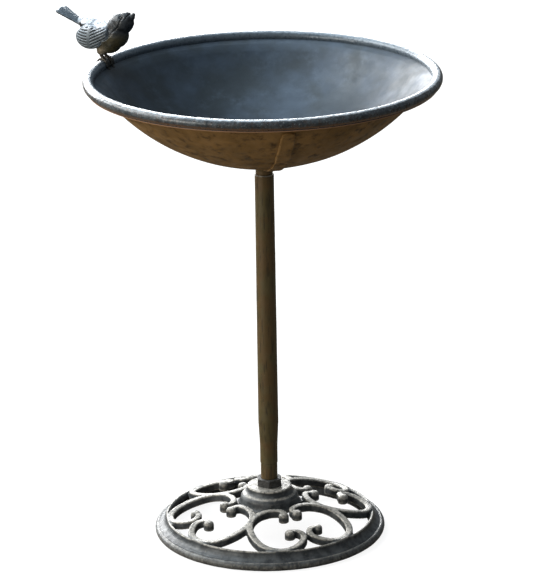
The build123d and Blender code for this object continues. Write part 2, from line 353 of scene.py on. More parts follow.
def limb(path, radii, steps=14):
    """A round bar of changing radius along a path, closed with a rounded end at each side."""
    path = np.array(path, float)
    ahead = np.gradient(path, axis=0)
    ahead /= np.linalg.norm(ahead, axis=1)[:, None]
    side = np.cross(ahead[0], (0.31, 0.87, 0.39))
    loops = []
    caps_in = [(-s * radii[0], math.sqrt(1 - s * s)) for s in (0.999, 0.9, 0.6)]
    caps_out = [(s * radii[-1], math.sqrt(1 - s * s)) for s in (0.6, 0.9, 0.999)]
    stations = [(0, *c) for c in caps_in] + [(k, 0.0, 1.0) for k in range(len(path))]
    stations += [(len(path) - 1, *c) for c in caps_out]
    angles = np.linspace(0, 2 * math.pi, steps, endpoint=False)
    for k, shift, share in stations:
        side = side - ahead[k] * (side @ ahead[k])
        side /= np.linalg.norm(side)
        other = np.cross(ahead[k], side)
        ring = np.outer(np.cos(angles), side) + np.outer(np.sin(angles), other)
        loops.append(path[k] + ahead[k] * shift + ring * radii[k] * share)
    return np.concatenate(loops), bar_faces(len(loops), steps)


def circle_through(a, b, c):
    """Centre and radius of the circle through three (x, z) points."""
    rows = np.array([[b[0] - a[0], b[1] - a[1]], [c[0] - a[0], c[1] - a[1]]], float)
    right = [b[0] ** 2 - a[0] ** 2 + b[1] ** 2 - a[1] ** 2, c[0] ** 2 - a[0] ** 2 + c[1] ** 2 - a[1] ** 2]
    centre = np.linalg.solve(rows, np.array(right) / 2)
    return centre, math.dist(centre, a)


# ---- materials
class Nodes:
    """A node tree under work."""

    def __init__(self, tree):
        self.tree = tree

    def node(self, kind, values=None):
        """A new shader node with some of its sockets filled."""
        return self.fill(self.tree.nodes.new("ShaderNode" + kind), values or {})

    def fill(self, node, values):
        """Gives sockets, by name or number, a number, a colour or another node's output."""
        for key, value in values.items():
            socket = node.inputs[key]
            if isinstance(value, bpy.types.NodeSocket):
                self.tree.links.new(value, socket)
            elif socket.type == "RGBA":
                socket.default_value = (*value, 1.0)
            else:
                socket.default_value = value
        return node

    def split_by_ray(self, kind, thrown, seen):
        """Ends the tree: one shader for the camera's own rays and another for the light it throws."""
        is_seen = self.node("LightPath").outputs["Is Camera Ray"]
        mix = self.node("MixShader", {0: is_seen, 1: thrown.outputs[0], 2: seen.outputs[0]})
        self.node(kind, {"Surface": mix.outputs[0]})


class Paint(Nodes):
    """A material built in layers: each mask from 0 to 1 lays another colour over the ones before."""

    def __init__(self, name, colour=None):
        self.material = bpy.data.materials.new(name)
        self.material.use_nodes = True
        super().__init__(self.material.node_tree)
        self.shader = next(n for n in self.tree.nodes if n.type == "BSDF_PRINCIPLED")
        self.colour = colour
        self.normal = None

    def place(self, stretch=(1, 1, 1)):
        """The point on the piece, in metres, stretched along each axis."""
        coords = self.node("TexCoord").outputs["Object"]
        return self.node("Mapping", {"Scale": stretch, "Vector": coords}).outputs["Vector"]

    def cloud(self, size, detail=4.0, rough=0.55, stretch=(1, 1, 1)):
        """Noise from 0 to 1 with features of a size in millimetres."""
        where = self.place(stretch)
        values = {"Scale": 1 / (size * MM), "Detail": detail, "Roughness": rough, "Vector": where}
        return self.node("TexNoise", values).outputs["Fac"]

    def kept(self, name):
        """A number kept on the mesh by store()."""
        node = self.node("Attribute")
        node.attribute_name = name
        return node.outputs["Fac"]

    def span(self, value, low, high, to_low=0.0, to_high=1.0):
        """Stretches a range of values to another one, with smooth ends."""
        node = self.node("MapRange")
        node.interpolation_type = "SMOOTHSTEP"
        ends = {"From Min": low, "From Max": high, "To Min": to_low, "To Max": to_high}
        return self.fill(node, {"Value": value, **ends}).outputs["Result"]

    def patches(self, size, low, high, detail=4.0, rough=0.55, stretch=(1, 1, 1)):
        """Soft-edged patches of noise: 0 where it is under one level and 1 where it is over another."""
        return self.span(self.cloud(size, detail, rough, stretch), low, high)

    def maths(self, operation, a, b):
        """Two values joined by an operation, and kept between 0 and 1 unless it is SUBTRACT."""
        node = self.node("Math", {0: a, 1: b})
        node.operation = operation
        node.use_clamp = operation != "SUBTRACT"
        return node.outputs[0]

    def both(self, a, b):
        """A mask where two masks overlap."""
        return self.maths("MULTIPLY", a, b)

    def blend(self, factor, a, b):
        """Colour a where factor is 0 and colour b where it is 1."""
        node = self.node("Mix")
        node.data_type = "RGBA"
        return self.fill(node, {0: factor, 6: a, 7: b}).outputs[2]

    def layer(self, mask, colour):
        """Lays a colour over the ones before, where the mask is 1."""
        self.colour = self.blend(mask, self.colour, colour)

    def height(self, low, high):
        """0 at one height in millimetres and 1 at another."""
        split = self.node("SeparateXYZ", {0: self.place()})
        return self.span(split.outputs["Z"], low * MM, high * MM)

    def radius(self, low, high):
        """0 at one distance from the pole's axis in millimetres and 1 at another."""
        node = self.node("VectorMath", {0: self.place((1, 1, 0))})
        node.operation = "LENGTH"
        return self.span(node.outputs["Value"], low * MM, high * MM)

    def bump(self, depth, *noise_values):
        """Adds noise as a bump of a depth in millimetres over the earlier ones."""
        height = self.cloud(*noise_values)
        node = self.node("Bump", {"Strength": 1.0, "Distance": depth * MM, "Height": height})
        if self.normal is not None:
            self.fill(node, {"Normal": self.normal})
        self.normal = node.outputs["Normal"]

    def done(self, noise_source, smooth, rough, metallic=0.0, specular=0.5):
        """Connects the layers and bumps; the roughness wanders between two values with the noise."""
        self.fill(self.shader, {
            "Base Color": self.colour,
            "Roughness": self.span(noise_source, 0.3, 0.7, smooth, rough),
            "Metallic": metallic,
            "Specular IOR Level": specular,
            "Normal": self.normal,
        })
        return self.material


def cast_paint():
    """Dark blue-grey paint over rough cast iron, rubbed pale on the high places, with a painted sky highlight
    that makes upward faces paler.
    """
    paint = Paint("cast_paint", (0.028, 0.032, 0.036))
    mid, earthy, pale = (0.082, 0.090, 0.095), (0.085, 0.082, 0.072), (0.36, 0.345, 0.31)
    paint.layer(paint.patches(9, 0.35, 0.68), mid)
    paint.layer(paint.patches(2.2, 0.56, 0.75, 6), earthy)
    # paler on raised ridges (rubbed wear) and on upward faces inside the ring (a painted sky highlight)
    high = paint.maths("MAXIMUM", paint.span(paint.kept("relief"), 0.60, 0.95), paint.kept("top"))
    paint.layer(paint.both(high, paint.patches(3.2, 0.30, 0.62, 6, 0.7)), pale)
    paint.bump(0.10, 1.4, 5, 0.65)
    paint.bump(0.25, 6.0, 3)
    return paint.done(paint.cloud(5), 0.36, 0.54, metallic=0.12, specular=0.35)


def nut_paint():
    """The same paint on the locknut, thicker, darker and duller."""
    paint = Paint("nut_paint", (0.014, 0.014, 0.014))
    paint.layer(paint.patches(3, 0.35, 0.7, 5), (0.06, 0.06, 0.058))
    paint.bump(0.3, 1.6, 6, 0.7)
    return paint.done(paint.cloud(2), 0.5, 0.75)


def pole_patina():
    """Brown-olive patina with darker streaks that run down the pole and small light specks."""
    brown, olive = (0.100, 0.062, 0.022), (0.088, 0.069, 0.027)
    dark, light = (0.034, 0.025, 0.011), (0.19, 0.15, 0.09)
    paint = Paint("pole_patina", brown)
    paint.layer(paint.patches(22, 0.4, 0.62), olive)
    paint.layer(paint.patches(2.5, 0.50, 0.72, 5, 0.6, (1, 1, 0.12)), dark)
    paint.layer(paint.patches(1.3, 0.64, 0.72, 4, 0.7), light)
    paint.bump(0.05, 1.1, 4, 0.6)
    paint.bump(0.25, 9.0, 3, 0.5, (1, 1, 0.3))
    return paint.done(paint.cloud(7), 0.36, 0.55, metallic=0.15)


def bowl_outside():
    """Brown rust patina, mottled, lighter and more orange at the flange."""
    brown, rust, dark = (0.195, 0.112, 0.036), (0.30, 0.172, 0.062), (0.080, 0.046, 0.016)
    sand, flange = (0.25, 0.16, 0.075), (0.33, 0.19, 0.11)
    paint = Paint("bowl_outside", brown)
    paint.layer(paint.patches(34, 0.38, 0.66, 5, 0.6), rust)
    paint.layer(paint.patches(12, 0.48, 0.68, 6, 0.65), dark)
    paint.layer(paint.patches(1.6, 0.60, 0.74, 4, 0.7), sand)
    paint.layer(paint.height(FLANGE_LOW_Z - 1.5, FLANGE_LOW_Z), flange)
    paint.bump(0.06, 1.8, 5, 0.65)
    paint.bump(0.5, 26, 3)
    return paint.done(paint.cloud(8), 0.42, 0.62, specular=0.18)


def bowl_inside():
    """Dark blue-grey worn paint with scuffs and stains."""
    dark, mid = (0.020, 0.031, 0.040), (0.034, 0.053, 0.078)
    scuffed, stained = (0.056, 0.081, 0.112), (0.026, 0.039, 0.052)
    paint = Paint("bowl_inside", dark)
    paint.layer(paint.patches(45, 0.36, 0.66), mid)
    paint.layer(paint.patches(20, 0.48, 0.85, 7, 0.68), scuffed)
    paint.layer(paint.patches(60, 0.55, 0.75, 3, 0.5), stained)
    paint.bump(0.02, 1.2, 3, 0.6)
    paint.bump(0.5, 30, 3)
    return paint.done(paint.cloud(14, 5, 0.65), 0.42, 0.55, metallic=0.3)


def rim_paint():
    """Dark blue-grey paint full of pale pits, with a pale band along its top that is partly worn paint and
    partly a painted highlight, bluer inside and rusty low outside.
    """
    dark, mid = (0.028, 0.036, 0.043), (0.066, 0.082, 0.096)
    speck, ridge = (0.20, 0.225, 0.24), (0.20, 0.215, 0.22)
    worn_and_highlight, blue, rust = (0.60, 0.64, 0.68), (0.12, 0.155, 0.19), (0.17, 0.095, 0.055)
    paint = Paint("rim_paint", dark)
    paint.layer(paint.patches(7, 0.38, 0.66), mid)
    paint.layer(paint.patches(1.5, 0.60, 0.70, 3, 0.6), speck)
    paint.layer(paint.span(paint.kept("relief"), 0.62, 0.95), ridge)
    # pale band along the bead's top, where it faces up: partly worn paint, partly a painted highlight line
    wear_and_sheen = paint.span(paint.cloud(4, 5, 0.6), 0.25, 0.6, 0.45, 1.0)
    paint.layer(paint.both(paint.kept("top"), wear_and_sheen), worn_and_highlight)
    inner = paint.maths("SUBTRACT", 1.0, paint.radius(BEAD_CENTRE_R - 1.0, BEAD_CENTRE_R + 1.5))
    paint.layer(paint.both(inner, 0.6), blue)
    uneven = paint.span(paint.cloud(3, 5, 0.6), 0.3, 0.7, -0.25, 0.25)
    painted = paint.maths("ADD", paint.height(RIM_Z - 4.0, RIM_Z - 0.8), uneven)
    paint.colour = paint.blend(paint.maths("MAXIMUM", painted, inner), rust, paint.colour)
    paint.bump(0.12, 1.5, 4, 0.6)
    paint.bump(0.2, 5, 3)
    return paint.done(paint.cloud(3), 0.24, 0.40, metallic=0.25)


def bird_paint():
    """Dark grey paint with painted shade, black in the grooves and hollows; pale on the wings as worn paint
    and on the upward faces of back and tail as a painted sky sheen, near white on the back as a painted sky
    reflection; brown below.
    """
    black, grey = (0.012, 0.015, 0.018), (0.036, 0.044, 0.051)
    brown, thigh = (0.060, 0.052, 0.026), (0.17, 0.14, 0.095)
    pale, painted_sky_reflection, ridge = (0.19, 0.235, 0.275), (0.66, 0.70, 0.76), (0.17, 0.19, 0.20)
    hollow, dark = (0.010, 0.012, 0.012), (0.008, 0.008, 0.009)
    paint = Paint("bird_paint", black)
    relief = paint.kept("relief")
    paint.layer(paint.patches(5, 0.36, 0.66, 5), grey)
    paint.layer(paint.both(paint.kept("below"), paint.patches(6, 0.1, 0.5)), brown)
    paint.layer(paint.kept("thigh"), thigh)
    # pale on the wings as worn paint, and on upward faces of tail and back as a painted sky sheen
    wear_and_sheen = paint.span(paint.cloud(4, 5, 0.6), 0.15, 0.6, 0.55, 1.0)
    paint.layer(paint.both(paint.kept("pale"), wear_and_sheen), pale)
    # near-white patches on the upward-facing back: a painted sky reflection
    paint.layer(paint.both(paint.kept("back"), paint.patches(3.0, 0.38, 0.58, 5, 0.7)), painted_sky_reflection)
    rub = paint.span(paint.cloud(2.0, 5, 0.7), 0.30, 0.62, 0.0, 0.6)
    paint.layer(paint.both(paint.span(relief, 0.56, 0.88), rub), ridge)
    # painted shade: near black in the hollows
    paint.layer(paint.span(relief, 0.20, 0.48, 1.0, 0.0), hollow)
    # painted shade in feather grooves, neck lines and eye sockets; darker on the legs and feet too
    paint.layer(paint.kept("dark"), dark)
    paint.bump(0.07, 0.9, 5, 0.65)
    paint.bump(0.10, 2.4, 3)
    return paint.done(paint.cloud(4), 0.34, 0.52, metallic=0.2)


def plated(name, base, tone, rough):
    """Dull plating with fine scratches and a little rust."""
    paint = Paint(name, base)
    paint.layer(paint.patches(4, 0.35, 0.68, 5), tone)
    rust = (0.16, 0.075, 0.03)
    paint.layer(paint.patches(6, 0.62, 0.78, 6, 0.7), rust)
    paint.bump(0.03, 0.8, 4, 0.6)
    return paint.done(paint.cloud(1.5), rough - 0.08, rough + 0.12, metallic=0.85)


def floor_paper():
    """Pale paper, bright where the camera sees it, which throws only a little warm light."""
    paint = Paint("floor_paper")
    paint.tree.nodes.clear()
    warm = paint.blend(paint.cloud(300, 3), (0.10, 0.085, 0.065), (0.13, 0.11, 0.085))
    white = paint.blend(paint.cloud(400, 3), (0.93, 0.93, 0.93), (0.96, 0.96, 0.96))
    matt = paint.node("BsdfDiffuse", {"Color": white})
    glow = paint.node("Emission", {"Color": white, "Strength": 1.15})
    seen = paint.node("MixShader", {0: 0.82, 1: matt.outputs[0], 2: glow.outputs[0]})
    paint.split_by_ray("OutputMaterial", paint.node("BsdfDiffuse", {"Color": warm}), seen)
    return paint.material


# ---- base
def dome_height(radius):
    """Height of the scrolls' tops at a distance from the axis."""
    inner, outer = HUB_R - 4.0, RING_R - 11.0
    middle = (inner + outer) / 2, RING_RIDGE_Z + DOME_FULLNESS * (DOME_TOP_Z - RING_RIDGE_Z)
    centre, size = circle_through((inner, DOME_TOP_Z), middle, (outer, RING_RIDGE_Z - 1.0))
    r = np.clip(radius, inner - 3.0, outer + 2.0)
    return centre[1] + np.sign(DOME_TOP_Z - centre[1]) * np.sqrt(size ** 2 - (r - centre[0]) ** 2)


def scroll_path(step=1.0):
    """Points along one C-scroll in plan, with the heading at each."""
    x, y = SCROLL_START
    heading = math.radians(SCROLL_HEADING)
    points, headings = [(x, y)], [heading]
    for radius, turn in SCROLL_ARCS:
        cx, cy = x + radius * math.sin(heading), y - radius * math.cos(heading)
        parts = max(4, int(radius * math.radians(turn) / step))
        for k in range(1, parts + 1):
            h = heading - math.radians(turn) * k / parts
            points.append((cx - radius * math.sin(h), cy + radius * math.cos(h)))
            headings.append(h)
        heading -= math.radians(turn)
        x, y = points[-1]
    return np.array(points), np.array(headings)


def scroll_bar():
    """The swept bar: upright sides with a little draft and a rounded top."""
    path, headings = scroll_path()
    half, draft, crown = SCROLL_WIDTH / 2, 0.25, 0.1
    corners = [(-half, -SCROLL_DEPTH), (-half + draft, crown), (half - draft, crown), (half, -SCROLL_DEPTH)]
    section = np.array(rounded(corners, [0.8, 0.9, 0.9, 0.8], 5))
    along = np.linspace(0, 1, len(path))
    widths = 1.12 + 0.16 * np.sin(math.pi * along) ** 0.8
    normals = np.stack([-np.sin(headings), np.cos(headings)], axis=1)
    plan = path[:, None, :] + normals[:, None, :] * (section[None, :, :1] * widths[:, None, None])
    top = dome_height(np.hypot(path[:, 0], path[:, 1]))
    z = top[:, None] + section[None, :, 1]
    points = np.concatenate([plan, z[:, :, None]], axis=2).reshape(-1, 3)
    return points, bar_faces(len(path), len(section))


def bulb(x, y):
    """The domed round end of a scroll."""
    top = float(dome_height(math.hypot(x, y)))
    low = top - SCROLL_DEPTH - 0.4
    corners = [
        (AXIS_GAP, top + 1.5), (BULB_R - 1.2, top + 0.9), (BULB_R, top - 1.6), (BULB_R, low), (AXIS_GAP, low),
    ]
    points, faces = lathe(rounded(corners, [0, 2.2, 1.4, 0.8, 0], 5), 40)
    return points + (x, y, 0.0), faces


def scroll():
    """One whole C-scroll."""
    path, _ = scroll_path()
    return merge([scroll_bar(), bulb(*path[0]), bulb(*path[-1])])


def turned_about_axis(shell, degrees, flip=False):
    """A shell turned about the pole's axis, mirrored first if asked."""
    points, faces = shell
    points = points * np.array([1, -1 if flip else 1, 1])
    return points @ turn_matrix(degrees).T, faces


def ring_outline():
    """Section of the base ring: foot bead, hollow cove and the ridge inside."""
    foot = 4.4
    bead = [
        (RING_R - foot + foot * math.sin(a), foot - foot * math.cos(a))
        for a in np.linspace(0, math.radians(170), 14)
    ]
    cove_low, cove_mid = (RING_R - foot + 1.0, 2 * foot), (RING_RIDGE_R + 3.6, 11.0)
    cove_high = (RING_RIDGE_R + 1.4, RING_RIDGE_Z - 0.8)
    centre, size = circle_through(cove_low, cove_mid, cove_high)
    first, last = (
        math.atan2(z - centre[1], r - centre[0]) % (2 * math.pi)
        for r, z in (cove_low, cove_high)
    )
    cove = [
        (centre[0] + size * math.cos(a), centre[1] + size * math.sin(a))
        for a in np.linspace(first, last, 12)
    ]
    ridge = [(RING_RIDGE_R, RING_RIDGE_Z), (RING_RIDGE_R - 1.6, RING_RIDGE_Z - 0.8)]
    inside = [(RING_INNER_R, 13.0), (RING_INNER_R, 0.0)]
    return bead + cove[1:] + ridge + inside


def hub_outline():
    """Section of the hub: pocket below, skirt, conical side, upright neck and flat seat."""
    neck_r, skirt_r = 22.9, HUB_SKIRT_R - 3.0
    corners = [
        (HUB_BORE_R, HUB_RECESS_Z), (HUB_RECESS_R, HUB_RECESS_Z), (HUB_RECESS_R, HUB_LOW_Z),
        (skirt_r, HUB_LOW_Z + 1.0), (skirt_r, 28.6), (HUB_R + 1.0, 31.6),
        (HUB_R, 37.0), (HUB_R - 1.6, 39.6), (neck_r + 1.6, 42.0), (neck_r, 44.4), (neck_r, HUB_TOP_Z),
        (HUB_BORE_R, HUB_TOP_Z),
    ]
    return rounded(corners, [0, 0.4, 0.6, 1.2, 1.2, 2.5, 2.5, 2, 2.5, 1.5, 1.1, 0], 4)


def make_base(material):
    """Ring, four hearts of mirrored scrolls and hub, as one casting."""
    half = scroll()
    hearts = [
        turned_about_axis(half, SCROLL_AXIS + k * 360.0 / HEARTS, flip)
        for k in range(HEARTS) for flip in (False, True)
    ]
    ring = lathe(refined(ring_outline(), 1.5), 360)
    hub = lathe(refined(hub_outline(), 1.5), 120)
    piece = fused(new_piece("base", merge([ring, hub, *hearts])), BASE_VOXEL)
    relax(piece, 2)
    points = get_points(piece)
    push(piece, 0.10 * lumps(points, 7.0, 1) + 0.05 * lumps(points, 2.6, 2))
    radius = axis_distance(points)
    groove = band(radius, RING_R - 4.6, 0.8) * (points[:, 2] > 5.0)
    ridge = band(radius, RING_RIDGE_R + 0.4, 0.7) * (points[:, 2] > RING_RIDGE_Z - 2.0)
    push(piece, 0.35 * ridge - 0.75 * groove)
    store_relief(piece, 5, 1.4)
    points = get_points(piece)
    radius = axis_distance(points)
    points[:, :2] *= np.minimum(1.0, RING_R / np.maximum(radius, 1.0))[:, None]
    points[:, 2] = np.clip(points[:, 2], 0.0, HUB_TOP_Z)
    set_points(piece, points)
    # upward faces inside the ring are marked "top"; the paint turns them paler as a painted sky highlight
    inside_ring = 1 - ramp(RING_RIDGE_R - 4.0, RING_RIDGE_R, axis_distance(points))
    store(piece, "top", ramp(0.68, 0.86, get_normals(piece)[:, 2]) * inside_ring)
    finish_piece(piece, "stand", material, "base_casting")


def hex_ring(low, high, flats, bore):
    """A hexagon nut with turned corners and a round bore."""
    widest = flats / 2 / math.cos(math.radians(30))
    corner, ease = 1.0, 0.6
    flat_r = widest - 1.6 * corner
    rows = [
        (bore, low + ease), (bore + ease, low), (flat_r, low), (widest, low + corner),
        (widest, high - corner), (flat_r, high), (bore + ease, high), (bore, high - ease),
    ]

    def six_sides(r, z, angle):
        side = (angle + math.pi / 6) % (math.pi / 3) - math.pi / 6
        return np.where(r > bore + 1.0, np.minimum(r, flats / 2 / np.cos(side)), r)

    return lathe(refined(rounded(rows, 0.25, 2), 1.0), 96, six_sides)


def make_nut(name, node, material):
    """A nut in a CAD nut's place."""
    lo, hi = node_box(node)
    piece = new_piece(name, hex_ring(lo[2], hi[2], NUT_FLATS, FOOT_THREAD_R + 0.05))
    store_relief(piece, 2, 3.0)
    finish_piece(piece, "stand", material, node)


def make_pole_foot(material):
    """The turned foot: threaded below, smooth between the locknut and the tube."""
    thread_top = node_box("locknut")[1][2]
    plug_r = POLE_NECK_R - TUBE_WALL - 0.05
    corners = [
        (AXIS_GAP, FOOT_LO[2]), (FOOT_THREAD_R, FOOT_LO[2]), (FOOT_THREAD_R, thread_top),
        (FOOT_R, thread_top), (FOOT_R, POLE_FOOT_Z), (plug_r, POLE_FOOT_Z), (plug_r, FOOT_HI[2]),
        (AXIS_GAP, FOOT_HI[2]),
    ]
    outline = refined(rounded(corners, [0, 0.9, 0, 0.5, 0.6, 0, 1.0, 0], 3), 0.25)

    def threaded(r, z, angle):
        phase = (z / THREAD_PITCH - angle / (2 * math.pi)) % 1.0
        groove = 0.9 * np.abs(2 * phase - 1)
        inside = (r > FOOT_THREAD_R - 0.05) & (z < thread_top - 0.2) & (r < FOOT_THREAD_R + 0.05)
        return np.where(inside, r - groove, r)

    piece = new_piece("foot", lathe(outline, 64, threaded))
    finish_piece(piece, "stand", material, "pole_foot")


# ---- pole
def make_pole(material):
    """Slightly tapered tube with a swaged lower end and small dents."""
    top_bore, low_bore, neck_bore = POLE_TOP_R - TUBE_WALL, POLE_LOW_R - TUBE_WALL, POLE_NECK_R - TUBE_WALL
    straight_bore = 45.0
    corners = [
        (POLE_NECK_R, POLE_FOOT_Z), (POLE_NECK_R, SWAGE_END_Z), (POLE_LOW_R - 0.05, SWAGE_TOP_Z),
        (POLE_TOP_R, POLE_TOP_Z), (top_bore, POLE_TOP_Z), (top_bore, POLE_TOP_Z - straight_bore),
        (low_bore, SWAGE_TOP_Z),
        (neck_bore, SWAGE_END_Z), (neck_bore, POLE_FOOT_Z),
    ]
    outline = refined(rounded(corners, [0.5, 30.0, 30.0, 0.5, 0.3, 0, 0, 0, 0], 6), 2.2)
    piece = new_piece("pole", lathe(outline, 96))
    points = get_points(piece)
    outward = (get_normals(piece)[:, :2] * points[:, :2]).sum(axis=1) > 0
    dents = 0.10 * lumps(points, 26.0, 3) + 0.05 * lumps(points, 7.0, 4) - 0.12
    push(piece, np.where(outward, np.minimum(dents, 0), 0))
    store_relief(piece, 4, 2.0)
    finish_piece(piece, "stand", material, "pole_tube")


# ---- bowl
def cap_height(radius, ball_r):
    """Height of the bowl's surface at a radius, for a ball of this size about the cap's centre."""
    return CAP_CENTRE_Z - np.sqrt(ball_r ** 2 - np.asarray(radius, float) ** 2)


def shell_outline():
    """Section of the pressed bowl, from its middle out under the flange and back along the inside."""
    inner_ball = BOWL_SPHERE - SHEET
    outer_r = np.linspace(AXIS_GAP, WALL_R - 1.5, 110)
    inner_r = np.linspace(WALL_R - 2.6, AXIS_GAP, 110)
    outside = list(zip(outer_r, cap_height(outer_r, BOWL_SPHERE)))
    inside = list(zip(inner_r, cap_height(inner_r, inner_ball)))
    fillet = [(BEAD_CENTRE_R - 2.5, RIM_Z - 0.8), (BEAD_CENTRE_R - 6.4, RIM_Z - 2.8)]
    fillet.append((BEND_R - 0.4, FLANGE_TOP_Z + 0.1))
    flange = [(BEND_R - 1.2, FLANGE_LOW_Z), (FLANGE_R, FLANGE_LOW_Z), (FLANGE_R, FLANGE_TOP_Z)]
    edge = rounded([outside[-1], *flange, *fillet, inside[0]], [0, 3.5, 0.4, 0.3, 0.5, 2.0, 4.0, 0], 6)
    return outside[:-1] + edge + inside[1:]


def make_shell(outside, inside):
    """The bowl, slightly uneven as pressed sheet is, with its two finishes."""
    outline = shell_outline()
    piece = new_piece("bowl", lathe(outline, 300))
    points = get_points(piece)
    radius = axis_distance(points)
    free = ramp(8.0, 40.0, radius) * (1 - ramp(WALL_R - 22.0, WALL_R - 4.0, radius))
    wave = 0.45 * lumps(points, 70.0, 5) + 0.12 * lumps(points, 24.0, 6)
    points[:, 2] += wave * free
    set_points(piece, points)
    finish_piece(piece, "bowl", outside, "bowl_shell")
    piece.data.materials.append(inside)
    for face in piece.data.polygons:
        face.material_index = int(face.normal.z > 0.0)
    return piece


def make_rim(material):
    """The round bar along the edge, pitted and slightly uneven."""
    angles = np.linspace(0, 2 * math.pi, 56, endpoint=False)
    outline = [(BEAD_CENTRE_R + BEAD_R * math.cos(a), RIM_Z + BEAD_R * math.sin(a)) for a in angles]
    piece = new_piece("rim", lathe(outline, 1080))
    points = get_points(piece)
    pits = 0.16 * lumps(points, 3.4, 7) + 0.10 * lumps(points, 1.7, 8)
    sway = 0.22 * lumps(points, 38.0, 9)
    push(piece, np.minimum(pits + sway - 0.22, 0.0))
    store_relief(piece, 3, 2.2)
    # the bead's upward faces are marked "top" for a pale band that is partly wear and partly a painted
    # highlight
    store(piece, "top", ramp(0.80, 0.93, get_normals(piece)[:, 2]))
    finish_piece(piece, "bowl", material, "rim_ring")


def strap_point(along, across, depth):
    """A point on the strap: distance along the bowl's curve, across the strap and below the bowl."""
    ball_r = BOWL_SPHERE + depth
    angle = np.asarray(along, float) / BOWL_SPHERE
    x, z = ball_r * np.sin(angle), CAP_CENTRE_Z - np.sqrt(ball_r ** 2 - across ** 2) * np.cos(angle)
    return np.stack(np.broadcast_arrays(x, across, z), axis=-1)


def strap_bar():
    """The flat bar itself, with eased edges and rounded ends."""
    reach = BOWL_SPHERE * math.asin(STRAP_REACH / (BOWL_SPHERE + STRAP_THICK))
    half = STRAP_WIDTH / 2
    corners = [(-half, 0), (-half, STRAP_THICK), (half, STRAP_THICK), (half, 0)]
    section = np.array(refined(rounded(corners, [0.2, 0.7, 0.7, 0.2], 3), 1.6))
    along = np.linspace(-reach, reach, 240)
    ends = np.sqrt(np.clip(1 - np.clip((np.abs(along) - reach + 3.0) / 3.0, 0, 1) ** 2, 0.12, 1))
    points = strap_point(along[:, None], section[None, :, 0] * ends[:, None], section[None, :, 1])
    points = points.reshape(-1, 3)
    return points, bar_faces(len(along), len(section))


def weld_drops(along, across, size, seed):
    """A row of overlapping weld drops at places on the bowl's outside."""
    rng = np.random.default_rng(seed)
    drops = []
    for a, c in zip(along, across):
        centre = strap_point(np.array(a), np.array(c + rng.uniform(-0.2, 0.2)), 0.5)
        radius = size * rng.uniform(0.85, 1.15)
        drops.append(ball(centre, (radius, radius * 0.9, radius * 0.75), 0, 8, 10))
    return drops


def make_strap(material):
    """The bar under the bowl with its welds, as one piece."""
    half = STRAP_WIDTH / 2
    shells = [strap_bar()]
    for side in (-1, 1):
        for end, seed in ((-1, 11), (1, 12)):
            along = end * np.arange(120.0, 168.0, 1.3)
            shells += weld_drops(along, np.full(len(along), side * half), 1.25, seed + 4 * side)
    bar = turned_about_axis(merge(shells), STRAP_AXIS)
    piece = fused(new_piece("strap", bar), STRAP_VOXEL)
    relax(piece, 1)
    points = get_points(piece)
    push(piece, np.minimum(0.06 * lumps(points, 4.0, 13) - 0.04, 0))
    store_relief(piece, 3, 1.6)
    finish_piece(piece, "bowl", material, "bowl_strap")


def make_spigot(material):
    """Plug and collar, with a ring of weld where it meets the strap."""
    under = BOWL_Z - STRAP_THICK
    plug_r = POLE_TOP_R - TUBE_WALL - 0.09
    bore = 4.1
    low, seat, flare_r = SPIGOT_LO[2], WASHER_HI[2], COLLAR_TOP_R - 0.3
    corners = [
        (bore, low), (plug_r, low), (plug_r, seat), (COLLAR_R, seat), (COLLAR_R, seat + 4.0),
        (flare_r, under - 0.4), (flare_r, under + 0.2), (bore, under + 0.2),
    ]
    outline = refined(rounded(corners, [0, 1.4, 0, 0.5, 4.0, 0.3, 0, 0], 4), 1.0)
    shells = [lathe(outline, 72)]
    rng = np.random.default_rng(21)
    for angle in np.arange(0, 2 * math.pi, math.radians(9)):
        radius = COLLAR_TOP_R - 1.0 + rng.uniform(-0.15, 0.15)
        centre = (radius * math.cos(angle), radius * math.sin(angle), under - 0.4)
        size = 1.05 * rng.uniform(0.85, 1.1)
        shells.append(ball(centre, (size, size, size * 0.8), 0, 8, 10))
    piece = fused(new_piece("spigot", merge(shells)), SPIGOT_VOXEL)
    relax(piece, 1)
    store_relief(piece, 3, 2.0)
    finish_piece(piece, "bowl", material, "bowl_spigot")


# ---- bird, in its own frame, mm
# x points forward, y to its left and z up; the origin is on top of the ring, between its feet
def bird_place():
    """From the bird's own frame to the part's: it stands on the ring over its pins, facing the middle."""
    lo, hi = node_box("bird_washers")
    middle = (lo + hi) / 2
    azimuth = math.atan2(middle[1], middle[0])
    stand = Matrix.Translation((BEAD_CENTRE_R, 0, RIM_HI[2])) @ Matrix.Rotation(math.pi, 4, "Z")
    return np.array(Matrix.Rotation(azimuth, 4, "Z") @ stand)


FOOT_SPREAD = 5.0
PIN_CIRCLE_R = 165.2
EYE = np.array([23.2, 7.4, 45.9])
WING_LOBES = (((-10.5, 23.8), (15.5, 12.5), -4.0), ((2.5, 28.0), (10.5, 8.0), -14.0))
WING_SPLIT = -10.0
NECK_LINE = [(24.2, 44.8), (22.6, 41.0), (21.0, 36.8), (18.0, 33.4), (14.6, 30.6), (12.6, 27.5)]
NAPE_LINE = [(11.8, 35.5), (10.8, 31.4), (11.0, 27.8)]
GAPE = [(31.0, 49.6), (29.2, 47.0), (27.4, 44.4)]
FEATHER_ENDS = (0.8, -0.5, 0.2, 0.6, 0.2, -0.5, 0.8)


